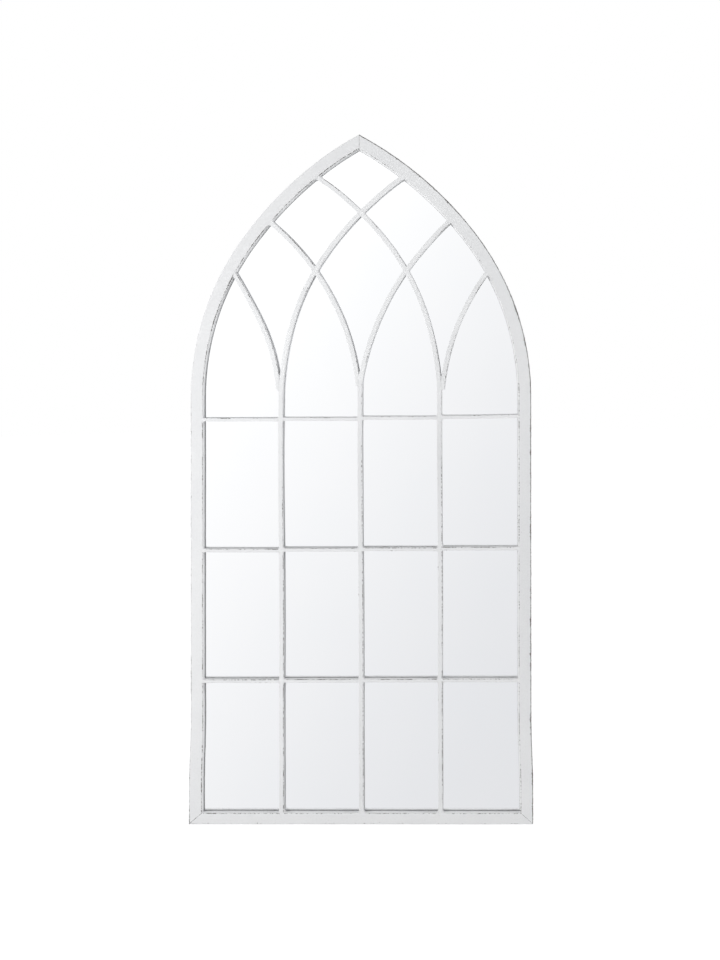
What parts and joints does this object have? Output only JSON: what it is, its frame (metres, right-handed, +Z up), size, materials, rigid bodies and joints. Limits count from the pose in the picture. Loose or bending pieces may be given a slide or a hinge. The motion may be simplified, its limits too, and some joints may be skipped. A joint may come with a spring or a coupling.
{
  "type": "wall mirror",
  "caption": "Wall mirror like a pointed-arch church window: white-painted iron frame with welded glazing bars and intersecting tracery in front of mirror glass, hung on keyholes.",
  "frame": {"origin": "middle of the bottom face of the object's box: on the floor line, halfway across and halfway through the depth", "axes": "+X to the right seen from the front, +Y back towards the wall, +Z up; the front faces -Y"},
  "size_m": [0.6128, 0.03, 1.2259],
  "materials": {
    "painted_iron": "matt white paint, rubbed through to grey-brown iron on the arrises",
    "mirror": "float glass silvered on its back",
    "fibreboard": "raw fibreboard",
    "zinc_steel": "zinc plated"
  },
  "bodies": {
    "root": {"bottom_rail": "painted_iron", "left_stile": "painted_iron", "right_stile": "painted_iron", "mullion_left": "painted_iron", "mullion_centre": "painted_iron", "mullion_right": "painted_iron", "left_bar_tip": "painted_iron", "centre_bar_tip": "painted_iron", "outer_arc_left": "painted_iron", "outer_arc_right": "painted_iron", "inner_arc_lower": "painted_iron", "inner_arc_upper": "painted_iron", "cross_bar_bottom_1": "painted_iron", "cross_bar_bottom_2": "painted_iron", "cross_bar_bottom_3": "painted_iron", "cross_bar_bottom_4": "painted_iron", "cross_bar_middle_1": "painted_iron", "cross_bar_middle_2": "painted_iron", "cross_bar_middle_3": "painted_iron", "cross_bar_middle_4": "painted_iron", "cross_bar_top_1": "painted_iron", "cross_bar_top_2": "painted_iron", "cross_bar_top_3": "painted_iron", "cross_bar_top_4": "painted_iron", "mirror_glass": "mirror", "backing_board": "fibreboard", "retaining_clips": "zinc_steel", "clip_screws": "zinc_steel", "hanger_left": "painted_iron", "hanger_right": "painted_iron"}
  },
  "joints": []
}
